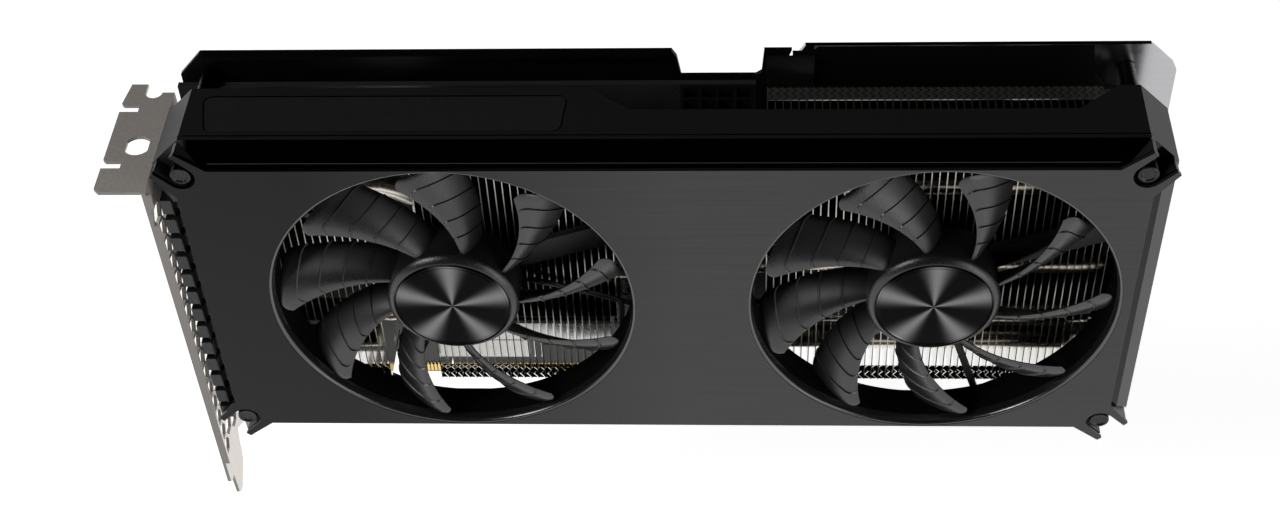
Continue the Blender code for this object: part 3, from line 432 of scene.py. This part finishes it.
SKINS = {
    "bracket_steel": bracket_sheet(),
    "brushed_plate": brushed_plate(),
    "gloss_black": shroud_plastic(),
    "panel_grey": grained("panel_inlay", (0.026, 0.026, 0.026), 0.35, scale=5000.0, swing=0.4,
                          depth=0.02 * MM),
    "blade_black": blade_plastic(),
    "spun_metal": spun_disc(),
    "back_black": grained("back_coat", (0.003, 0.003, 0.003), 0.45, scale=2500.0, swing=0.3,
                          depth=0.015 * MM, specular=0.12),
    "mirror_grey": end_sheet(),
    "board_black": board_mask(),
    "package_green": grained("package_laminate", (0.03, 0.09, 0.05), 0.5, scale=3000.0),
    "gold": grained("contact_gold", (0.80, 0.56, 0.20), 0.28, 1.0, scale=4000.0, swing=0.1,
                    rough_swing=0.06, depth=0.004 * MM),
    "chip_black": grained("chip_mould", (0.02, 0.02, 0.02), 0.55, scale=6000.0, depth=0.02 * MM),
    "post_black": grained("post_oxide", (0.035, 0.035, 0.035), 0.28, 1.0, scale=3000.0, depth=0.006 * MM),
    "die_grey": grained("die_face", (0.20, 0.20, 0.22), 0.12, 0.6, scale=500.0, swing=0.1, rough_swing=0.03,
                        depth=0.001 * MM),
    "socket_black": grained("socket_mould", (0.006, 0.006, 0.006), 0.42, scale=4500.0, depth=0.02 * MM,
                            specular=0.3),
    "bright_steel": grained("plated_steel", (0.58, 0.58, 0.57), 0.24, 1.0, scale=1800.0, swing=0.08,
                            rough_swing=0.05, depth=0.004 * MM),
    "bearing_brass": grained("bearing_sinter", (0.70, 0.52, 0.25), 0.45, 1.0, scale=5000.0),
    "copper": grained("milled_copper", (0.72, 0.38, 0.25), 0.25, 1.0, scale=1200.0, stretch=(0.05, 1, 1),
                      swing=0.1, depth=0.006 * MM),
    "nickel": grained("nickel_plate", (0.88, 0.82, 0.72), 0.3, 1.0, scale=900.0, swing=0.06,
                      rough_swing=0.04, depth=0.003 * MM),
    "fin_metal": fin_sheet(),
    "coil_copper": grained("winding_enamel", (0.45, 0.2, 0.09), 0.35, 0.6, scale=4000.0,
                           stretch=(1, 0.1, 1), depth=0.05 * MM),
    "magnet_grey": grained("magnet_ferrite", (0.12, 0.12, 0.12), 0.6, 0.2, scale=5000.0),
    "cable_black": grained("cable_jacket", (0.02, 0.02, 0.02), 0.45, scale=3000.0),
    "choke_grey": grained("choke_powder", (0.10, 0.10, 0.10), 0.6, scale=6000.0, depth=0.03 * MM),
}


def dress_cad_nodes():
    """Gives every CAD node its skin, smooth round faces, and small worn edges where light catches."""
    rounding = {"front_plate": 0.12, "shroud": 0.18, "bracket": 0.12, "backplate": 0.25,
                "rear_end_plate": 0.2, "power_connector": 0.15, "logo_panel": 0.1, "fan_header": 0.2}
    for entry in frame["record"]["subparts"]:
        name, slot = entry["node"], entry["material_slot"]
        made = frame["nodes"][name]
        made.data.materials.clear()
        made.data.materials.append(SKINS[slot])
        made.data.shade_smooth()
        made.data.set_sharp_from_angle(angle=math.radians(25))
        if name in rounding:
            edge = made.modifiers.new("worn_edge", "BEVEL")
            edge.width = rounding[name] * MM
            edge.segments = 2
            edge.limit_method = "ANGLE"
            edge.angle_limit = math.radians(35)
            edge.harden_normals = True


# ---------------------------------------------------------------- fans

def blade_surface(phase, t, s):
    """A point on a blade's middle surface, in millimetres from the fan's front centre.

    t runs from root (0) to tip (1) and s from the front edge (0) to the rear edge (1). The tip's two
    corners are rounded.
    """
    from_edge = min(s, 1 - s) / TIP_CORNER
    tip = TIP_R - (TIP_ROUND * (1 - math.sqrt(1 - (1 - from_edge) ** 2)) if from_edge < 1 else 0.0)
    radius = HUB_R - 0.8 + (tip - HUB_R + 0.8) * t
    angle = math.radians(phase - 26.0 * (1 - t) - (15.0 + 4.3 * t) * s)
    front_y = 2.4 - 1.8 * t
    rear_y = 10.2 - 0.8 * t
    y = front_y + (rear_y - front_y) * s - 1.5 * math.sin(math.pi * s)
    return Vector((radius * math.cos(angle), y, radius * math.sin(angle)))


TIP_CORNER = 0.17            # share of a blade's width that each tip corner takes
TIP_ROUND = 2.6
BLADE_HALF = 0.5             # half of a blade's thickness
RIDGE_HALF = 0.13            # half width of a ridge's crest, and its height
RIDGE_HIGH = 0.32


def blade_mesh(bm, phase):
    """Adds one blade: a thin swept vane with rounded edges and four raised ridges across its front."""
    reach = TIP_R - HUB_R + 0.8
    stops = [i / 14 for i in range(15)] + [1 - 0.25 / reach, 1 - 0.8 / reach]
    crests = [(ridge - HUB_R + 0.8) / reach for ridge in RIDGES]
    stops = [t for t in stops if all(abs(t - crest) * reach > 0.7 for crest in crests)]
    for crest in crests:
        stops += [crest + side * share * RIDGE_HALF / reach for side in (-1, 1) for share in (1, 2.6)]
    stops.sort()
    stations = [0.0, 0.02, 0.06, 0.11, 0.17, 0.26, 0.38, 0.5, 0.62, 0.74, 0.83, 0.89, 0.94, 0.98, 1.0]
    sides = []
    for side in (-1, 1):
        layer = []
        for t in stops:
            on_crest = any(abs(t - crest) * reach < 1.5 * RIDGE_HALF for crest in crests)
            line = []
            for s in stations:
                point = blade_surface(phase, t, s)
                along = blade_surface(phase, t + 0.004, s) - point
                across = blade_surface(phase, t, s + 0.01 if s < 0.5 else s - 0.01) - point
                normal = along.cross(across if s < 0.5 else -across).normalized()
                edge = min(1.0, min(s, 1 - s) * 9.0 + 0.08)
                tip = min(1.0, (1 - t) * reach / 0.9 + 0.12)
                half = BLADE_HALF * math.sqrt(edge * tip)
                if on_crest and side * normal.y < 0 and 0.01 < s < 0.99:
                    half += RIDGE_HIGH
                line.append(bm.verts.new((point + normal * half * side) * MM))
            layer.append(line)
        sides.append(layer)
    front, back = sides
    rows, columns = len(stops), len(stations)
    for i in range(rows - 1):
        for j in range(columns - 1):
            bm.faces.new((front[i][j], front[i + 1][j], front[i + 1][j + 1], front[i][j + 1]))
            bm.faces.new((back[i][j], back[i][j + 1], back[i + 1][j + 1], back[i + 1][j]))
    rim = [(i, 0) for i in range(rows)] + [(rows - 1, j) for j in range(1, columns)]
    rim += [(i, columns - 1) for i in range(rows - 2, -1, -1)] + [(0, j) for j in range(columns - 2, 0, -1)]
    for (i, j), (k, m) in zip(rim, rim[1:] + rim[:1]):
        bm.faces.new((front[i][j], back[i][j], back[k][m], front[k][m]))


def make_fan(body, axle, phase):
    hub = [(0, 1.2), (CAP_R + 0.2, 1.2), (CAP_R + 0.22, 0.2), (CAP_R + 0.4, 0.04), (CAP_R + 0.65, 0.1),
           (HUB_R - 0.75, 0.75), (HUB_R - 0.2, 1.3), (HUB_R, 2.0), (HUB_R, 11.0), (HUB_R - 1.4, 11.0),
           (HUB_R - 1.4, 2.6), (1.6, 2.6), (1.6, 3.4), (0, 3.4)]
    ring = turned(body + "_hub", axle, hub, SKINS["blade_black"], body)
    vanes = bmesh.new()
    for index in range(BLADES):
        blade_mesh(vanes, phase + index * 360 / BLADES)
    bmesh.ops.translate(vanes, verts=vanes.verts, vec=axle)
    blades = piece(body + "_blades", mesh_of(vanes, "blades"), SKINS["blade_black"], body, smooth=40)
    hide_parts(body + "_rotor")
    cap = [(0, 0.0), (CAP_R - 1.0, 0.0), (CAP_R - 0.9, 0.08), (CAP_R - 0.75, 0.08), (CAP_R - 0.65, 0.0),
           (CAP_R - 0.35, 0.0), (CAP_R - 0.05, 0.3), (CAP_R - 0.05, 0.9), (0, 0.9)]
    disc = turned(body + "_disc", axle, cap, SKINS["spun_metal"], body)
    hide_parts(body + "_hub_cap")
    lip = [(44.85, 0.15), (44.6, 0.2), (44.35, 0.4), (44.12, 0.8), (44.0, 1.4), (44.0, 3.0), (44.35, 3.0),
           (44.35, 1.75), (44.85, 1.3)]
    collar = turned(body + "_lip", axle, lip, LIP_GLOSS, ROOT, sides=160)
    wall = [(44.35, 3.1), (44.1, 3.1), (44.1, 11.15), (45.9, 11.15), (45.9, 11.05), (44.35, 11.05)]
    liner = turned(body + "_duct_liner", axle, wall, DUCT_BLACK, ROOT, sides=160)


LIP_GLOSS = grained("lip_gloss", (0.012, 0.012, 0.012), 0.22, scale=1500.0, swing=0.2, rough_swing=0.04,
                    depth=0.003 * MM, specular=1.0)
# The same black also colours the fin sheets that stand for painted shade.
DUCT_BLACK = grained("duct_black", (0.002, 0.002, 0.002), 0.7, scale=2500.0, swing=0.2, rough_swing=0.05,
                     depth=0.01 * MM, specular=0.08)


def make_lead(name, route, turns):
    """Four thin wires twisted together along a smooth route, in place of one CAD lead."""
    points = smooth_route(route, 8)
    wires = bpy.data.curves.new(name + "_wires", "CURVE")
    wires.dimensions = "3D"
    wires.bevel_depth = 0.32 * MM
    wires.bevel_resolution = 3
    wires.use_fill_caps = True
    for strand in range(4):
        spline = wires.splines.new("POLY")
        spline.points.add(len(points) - 1)
        for index, point in enumerate(spline.points):
            ahead = points[min(index + 1, len(points) - 1)] - points[max(index - 1, 0)]
            side = ahead.cross(Vector((0, 1, 0.3))).normalized()
            up = ahead.cross(side).normalized()
            angle = 2 * math.pi * (strand / 4 + turns * index / len(points))
            offset = (side * math.cos(angle) + up * math.sin(angle)) * 0.46
            point.co = (*(CARD + (points[index] + offset) * MM), 1)
        spline.use_smooth = True
    made = bpy.data.objects.new(name + "_wires", wires)
    bpy.context.scene.collection.objects.link(made)
    wires.materials.append(SKINS["cable_black"])
    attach(made, ROOT)
    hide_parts(name)


def smooth_route(points, steps):
    """Points along a Catmull-Rom curve through the given ones."""
    padded = [points[0], *points, points[-1]]
    route = []
    for a, b, c, d in zip(padded, padded[1:], padded[2:], padded[3:]):
        a, b, c, d = Vector(a), Vector(b), Vector(c), Vector(d)
        for i in range(steps):
            t = i / steps
            route.append(0.5 * (2 * b + (c - a) * t + (2 * a - 5 * b + 4 * c - d) * t ** 2
                                + (3 * b - a - 3 * c + d) * t ** 3))
    route.append(Vector(points[-1]))
    return route


def make_leads():
    """The fans' leads, on the CAD leads' own routes: out between two arms, then down to the header."""
    y, centre_z, header_z, opening_r = 12.25, 45.25, 11.0, 44.95
    for side, x, outward, plug_x in (("left", 68.8, 1, 119.5), ("right", 186.1, -1, 125.5)):
        lead = x + outward * opening_r
        route = [(x + outward * 17.2, y, centre_z - 3), (x + outward * 27, y, centre_z - 6),
                 (x + outward * 38, y, centre_z - 10), (lead, y + 1, centre_z - 14),
                 ((lead + plug_x) / 2, 18.5, 20.5), (plug_x, 22.5, 13.0), (plug_x, 26.5, header_z),
                 (plug_x, 28.8, header_z), (plug_x, 30.2, header_z)]
        make_lead("fan_%s_cable" % side, route, 5)


# ---------------------------------------------------------------- heatsink

def make_fins(name, pipe_heights, cut=0.0):
    """Thin fins inside the CAD stack's box, notched for the pipes and held together by folded tabs.

    The cut takes the corners off the right end, fin by fin.
    """
    low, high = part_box(name)
    count = int((high.x - low.x - FIN_SHEET) / FIN_PITCH + 0.5)
    pitch = (high.x - low.x - FIN_SHEET) / count
    room = PIPE_R + 0.25 * MM
    pipe_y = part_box("heat_pipe_2")[0].y + PIPE_R
    bm = bmesh.new()
    for index in range(count + 1):
        x = low.x + index * pitch
        trim = max(0.0, x - (high.x - cut)) if cut else 0.0
        bottom, top = low.z + trim, high.z - trim
        outline = [(low.y, bottom), (high.y, bottom)]
        for z in pipe_heights:
            if z - room > bottom:
                outline += [(high.y, z - room)] + arc(pipe_y, z, room, -90, -180, 10) + [(high.y, z + room)]
        outline += [(high.y, top), (low.y, top)]
        slab(bm, outline, "X", x, x + FIN_SHEET)
        if index < count:
            add_tabs(bm, x + FIN_SHEET, x + pitch, low.y, high.y, bottom, top)
    made = piece(name + "_fins", mesh_of(bm, name + "_fins"), SKINS["fin_metal"], ROOT, smooth=0)
    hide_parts(name)


def add_tabs(bm, x_low, x_high, y_low, y_high, bottom, top):
    """Adds the two folded tabs between one fin and the next: top rear and bottom front."""
    tab = 0.25 * MM
    slit = 0.3 * MM
    rear = min(y_high, y_low + 17.8 * MM)
    gap = x_high - x_low
    for y, z, way in ((rear - 4.6 * MM, top - tab, 1), (y_low + 0.2 * MM, bottom, -1)):
        steps = [(0.0, 0.0), (0.75, 1.3), (0.1, 2.3), (0.85, 3.4), (0.2, 4.4)]
        joint = [(x_low + gap * (share if way > 0 else 0.9 - share), y + up * MM) for share, up in steps]
        right = [(x_high, joint[-1][1]), (x_high, joint[0][1])]
        left = [(x_low, joint[0][1]), (x_low, joint[-1][1])]
        near = [(x + slit / 2, v) for x, v in joint]
        far = [(max(x - slit / 2, x_low + 0.02 * MM), v) for x, v in joint]
        slab(bm, near + right, "Z", z, z + tab)
        slab(bm, far[::-1] + left, "Z", z, z + tab)


def pipe_height(name, x):
    """The height of a CAD pipe's middle near x, from the ring of its vertices there."""
    near = min(abs(vert.co.x - x) for vert in frame["nodes"][name].data.vertices)
    ring = [vert.co.z for vert in frame["nodes"][name].data.vertices if abs(vert.co.x - x) < near + 0.1 * MM]
    return (min(ring) + max(ring)) / 2


def make_pipe(name):
    """A smooth round pipe with crimped ends, through the same bends as the CAD pipe."""
    low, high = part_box(name)
    gpu_x = (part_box("gpu_die")[0].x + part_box("gpu_die")[1].x) / 2
    left, middle, right = (pipe_height(name, x) for x in (low.x, gpu_x, high.x))
    steps = 60
    curve = bpy.data.curves.new(name + "_tube", "CURVE")
    curve.dimensions = "3D"
    curve.bevel_depth = PIPE_R
    curve.bevel_resolution = 6
    curve.use_fill_caps = True
    spline = curve.splines.new("POLY")
    spline.points.add(steps)
    for index, point in enumerate(spline.points):
        x = low.x + (high.x - low.x) * index / steps
        z = eased(left, middle, *LEFT_BEND, x) if x < gpu_x else eased(middle, right, *RIGHT_BEND, x)
        point.co = (x, low.y + PIPE_R, z, 1)
        from_end = min(index, steps - index)
        point.radius = (0.45, 0.97, 1.0)[min(from_end, 2)]
    spline.use_smooth = True
    made = bpy.data.objects.new(name + "_tube", curve)
    bpy.context.scene.collection.objects.link(made)
    curve.materials.append(SKINS["nickel"])
    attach(made, ROOT)
    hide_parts(name)


def eased(start, end, x_low, x_high, x):
    """A height that swings smoothly from start to end between x_low and x_high."""
    part = min(max((x - x_low) / (x_high - x_low), 0.0), 1.0)
    return start + (end - start) * (1 - math.cos(math.pi * part)) / 2


# ---------------------------------------------------------------- board details

CONTACT_HEIGHT = 3.3 * MM


def make_contacts(name):
    """Separate gold fingers with narrow necks, in place of the CAD strip, leaving the key gap."""
    low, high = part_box(name)
    top = low.z + CONTACT_HEIGHT
    pitch, width = 1.0 * MM, 0.72 * MM
    key_low, key_high = low.x + 10.6 * MM, low.x + 13.3 * MM
    bm = bmesh.new()
    for index in range(int((high.x - low.x) / pitch)):
        x = low.x + index * pitch
        if x + width > key_low and x < key_high:
            continue
        shoulder = top - 1.0 * MM
        neck = x + width * 0.35
        neck_right, neck_low = neck + 0.22 * MM, shoulder + 0.5 * MM
        outline = [(x, low.z), (x + width, low.z), (x + width, shoulder), (neck_right, neck_low),
                   (neck_right, top), (neck, top), (neck, neck_low), (x, shoulder)]
        slab(bm, outline, "Y", low.y, high.y)
    made = piece(name + "_fingers", mesh_of(bm, "fingers"), SKINS["gold"], ROOT, smooth=0)
    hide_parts(name)


def boxes_mesh(name, places, ease=0.12):
    """A mesh of eased boxes, each given by its two corners in the card's millimetres."""
    bm = bmesh.new()
    for near, far in places:
        low, high = at(*near), at(*far)
        size = Matrix.Diagonal((*(high - low), 1))
        bmesh.ops.create_cube(bm, size=1.0, matrix=Matrix.Translation((low + high) / 2) @ size)
    bmesh.ops.bevel(bm, geom=bm.edges[:], offset=ease * MM, segments=2, affect="EDGES")
    return mesh_of(bm, name)


# Painted shade with a warm brown tint, for the web above the memory plate.
WEB_SHADE_BROWN = grained("web_shade_brown", (0.09, 0.075, 0.055), 0.35, 0.7, scale=1800.0, swing=0.15,
                    depth=0.005 * MM)


def make_memory_plate():
    """The cooler's bright lower plate with a foot on its left; above it a black ledge that stands for a painted
    shadow line, and a dark brown web whose colour is painted shade with a warm tint.
    """
    plates = [((62, 29.6, 0.1), (106, 30.2, 6.8)), ((60.5, 29.6, -6.9), (85, 30.2, 0.0))]
    made = piece("memory_plate", boxes_mesh("memory_plate", plates), SKINS["bright_steel"], ROOT)
    # Painted shadow: a black strip along the top of the bright plate.
    ledge_mesh = boxes_mesh("ledge", [((60.5, 29.2, 7.0), (107, 30.2, 8.4))])
    ledge = piece("memory_plate_shadow_ledge", ledge_mesh, SKINS["socket_black"], ROOT)
    web_mesh = boxes_mesh("web", [((62, 29.9, 8.5), (106, 30.3, 16.2))])
    web = piece("memory_plate_shade_web", web_mesh, WEB_SHADE_BROWN, ROOT)


def make_fin_backs():
    """Black sheets that stand for painted shade behind the middle fins, in front of their pipes, and behind the
    right fins.
    """
    # Painted shade: these sheets darken the gaps between the fins.
    sheets = [((59.8, 22.84, 17.0), (108.2, 22.96, 88.0)), ((145.8, 32.06, -0.4), (228.8, 32.26, 86.0))]
    made = piece("fin_shade_sheets", boxes_mesh("fin_shade_sheets", sheets, 0.02), DUCT_BLACK, ROOT)


def make_low_pipe(name, x_low, x_high):
    """The lowest pipe's straight run through one outer stack, with crimped ends, low in the fins."""
    sides = 33
    pipe_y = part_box("heat_pipe_2")[0].y + PIPE_R
    bm = bmesh.new()
    rings = []
    for width, along in ((0.4, 0.0), (1.0, 0.03), (1.0, 0.97), (0.4, 1.0)):
        x = x_low + (x_high - x_low) * along
        circle = arc(0.0, 0.0, PIPE_R * width, 0, 360, sides)[:-1]
        rings.append([bm.verts.new((x, pipe_y + v, LOW_PIPE_Z + u)) for u, v in circle])
    for first, second in zip(rings, rings[1:]):
        for index in range(sides):
            after = (index + 1) % sides
            bm.faces.new((first[index], first[after], second[after], second[index]))
    bm.faces.new(rings[0])
    bm.faces.new(rings[-1][::-1])
    made = piece(name, mesh_of(bm, name), SKINS["nickel"], ROOT)


def make_baffles():
    """Black plates that close the duct past the right fins, and the slit beside the end plate."""
    plates = [((231.0, 12.0, 0.0), (232.0, 33.0, 79.0)), ((145.5, 36.15, 55.0), (157.0, 36.55, 94.0))]
    made = piece("duct_baffles", boxes_mesh("baffles", plates), SKINS["socket_black"], ROOT)


def make_end_liner():
    """A black inner sheet on the end plate's front, stepped down beside the upper right corner post."""
    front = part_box("rear_end_plate")[0].y / MM - CARD.y / MM
    outline = [(151.75, -3.0), (237.0, -3.0), (237.0, 80.0), (226.6, 83.0), (224.2, 86.0), (223.6, 89.2),
               (223.0, 94.9), (158.0, 94.9), (157.0, 94.0), (151.75, 94.0)]
    bm = bmesh.new()
    points = [(at(x, 0, 0).x, at(0, 0, z).z) for x, z in outline]
    slab(bm, points, "Y", at(0, front - 0.35, 0).y, at(0, front - 0.05, 0).y)
    made = piece("end_plate_liner", mesh_of(bm, "end_liner"), DUCT_BLACK, ROOT, smooth=0)


def make_lead_guide():
    """A thin hooked guide on the duct's rear edge that keeps the left fan's lead off the blades."""
    curve = bpy.data.curves.new("lead_guide", "CURVE")
    curve.dimensions = "3D"
    curve.bevel_depth = 0.22 * MM
    curve.extrude = 0.45 * MM
    curve.bevel_resolution = 2
    spline = curve.splines.new("POLY")
    corners = [(101.3, 38.7), (107.6, 36.2), (109.2, 34.6), (109.4, 31.0), (108.9, 26.6)]
    route = smooth_route([(x, 11.3, z) for x, z in corners], 5)
    spline.points.add(len(route) - 1)
    for point, spot in zip(spline.points, route):
        point.co = (*(CARD + spot * MM), 1)
    made = bpy.data.objects.new("lead_guide", curve)
    bpy.context.scene.collection.objects.link(made)
    curve.materials.append(SKINS["socket_black"])
    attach(made, ROOT)


def make_post(name):
    """A round post with a shallow dished head in the corner slot."""
    low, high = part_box(name)
    centre = Vector(((low.x + high.x) / 2, 0, (low.z + high.z) / 2))
    head, neck, back = low.y / MM, FACE_Y / MM + 5.1, high.y / MM
    profile = [(0, head + 0.35), (1.5, head + 0.3), (1.8, head + 0.05), (2.15, head), (2.4, head + 0.12),
               (2.5, head + 0.4), (2.5, neck), (1.95, neck + 0.3), (1.95, back), (0, back)]
    made = turned(name + "_round", centre, profile, SKINS["post_black"], ROOT, sides=64)
    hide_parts(name)


# ---------------------------------------------------------------- studio

def make_studio():
    """A glowing white floor, a world that is black above the horizon, and a soft box on each side."""
    floor_mesh = bpy.data.meshes.new("floor")
    reach, level = 12.0, cad_box[0].z - 0.08
    floor_mesh.from_pydata([(-reach, -reach, level), (reach, -reach, level), (reach, reach, level),
                            (-reach, reach, level)], [], [(0, 1, 2, 3)])
    floor = bpy.data.objects.new("floor", floor_mesh)
    bpy.context.scene.collection.objects.link(floor)
    paper = shaded("floor_paper", (0.9, 0.9, 0.9), 0.9, specular=0.1)
    shader_input(paper, "Emission Color").default_value = (1, 1, 1, 1)
    shader_input(paper, "Emission Strength").default_value = 0.9
    floor_mesh.materials.append(paper)

    world = bpy.data.worlds.new("studio")
    bpy.context.scene.world = world
    world.use_nodes = True
    nodes = world.node_tree.nodes
    links = world.node_tree.links
    place = nodes.new("ShaderNodeTexCoord")
    axes = nodes.new("ShaderNodeSeparateXYZ")
    ramp = nodes.new("ShaderNodeValToRGB")
    links.new(place.outputs["Generated"], axes.inputs["Vector"])
    links.new(axes.outputs["Z"], ramp.inputs["Fac"])
    ramp.color_ramp.elements[0].position = 0.02
    ramp.color_ramp.elements[0].color = (0.9, 0.9, 0.9, 1)
    ramp.color_ramp.elements[1].position = 0.12
    ramp.color_ramp.elements[1].color = (0.0, 0.0, 0.0, 1)
    links.new(ramp.outputs["Color"], nodes["Background"].inputs["Color"])

    centre = (cad_box[0] + cad_box[1]) / 2
    lights = [("key", (-0.85, -0.5, 0.85), 0.45, 0.45, 6.0), ("fill", (0.95, -0.75, 0.25), 0.5, 0.8, 3.4)]
    for name, offset, wide, tall, power in lights:
        data = bpy.data.lights.new(name, "AREA")
        data.shape = "RECTANGLE"
        data.size, data.size_y, data.energy = wide, tall, power
        lamp = bpy.data.objects.new(name, data)
        lamp.location = centre + Vector(offset)
        lamp.rotation_euler = (centre - lamp.location).to_track_quat("-Z", "Y").to_euler()
        bpy.context.scene.collection.objects.link(lamp)


def make_camera():
    """A 55 mm view from in front, above and a little to the right of the card's middle."""
    data = bpy.data.cameras.new("camera")
    data.lens = 55.31
    data.sensor_width = 36.0
    camera = bpy.data.objects.new("camera", data)
    heading, tilt, roll = 0.076435, 0.77190, -0.054071      # radians
    turn = Matrix.Rotation(heading, 4, "Z") @ Matrix.Rotation(tilt, 4, "X") @ Matrix.Rotation(roll, 4, "Z")
    camera.matrix_world = Matrix.Translation((0.145497, -0.354276, 0.314146)) @ turn
    bpy.context.scene.collection.objects.link(camera)
    bpy.context.scene.camera = camera
    bpy.context.scene.view_settings.view_transform = "Standard"


make_camera()
make_studio()
dress_cad_nodes()
for (body, axle), phase in zip(FANS, (23.3, 6.1)):
    make_fan(body, axle, phase)
make_leads()
make_lead_guide()
PIPES = ["heat_pipe_1", "heat_pipe_2", "heat_pipe_3"]
for stack in ("fin_stack_left", "fin_stack_middle", "fin_stack_right"):
    low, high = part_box(stack)
    heights = [LOW_PIPE_Z] + sorted(pipe_height(pipe, low.x) for pipe in PIPES)
    if stack == "fin_stack_middle":
        heights = []
    make_fins(stack, heights, FIN_CUT if stack == "fin_stack_right" else 0.0)
for pipe in PIPES:
    make_pipe(pipe)
make_low_pipe("low_pipe_left", at(18.5, 0, 0).x, at(46.5, 0, 0).x)
make_low_pipe("low_pipe_right", at(145.7, 0, 0).x, at(224.0, 0, 0).x)
make_memory_plate()
make_fin_backs()
make_baffles()
make_end_liner()
make_contacts("edge_contacts_front")
make_contacts("edge_contacts_rear")
for corner in ("left_top", "left_bottom", "right_top", "right_bottom"):
    make_post("corner_post_" + corner)
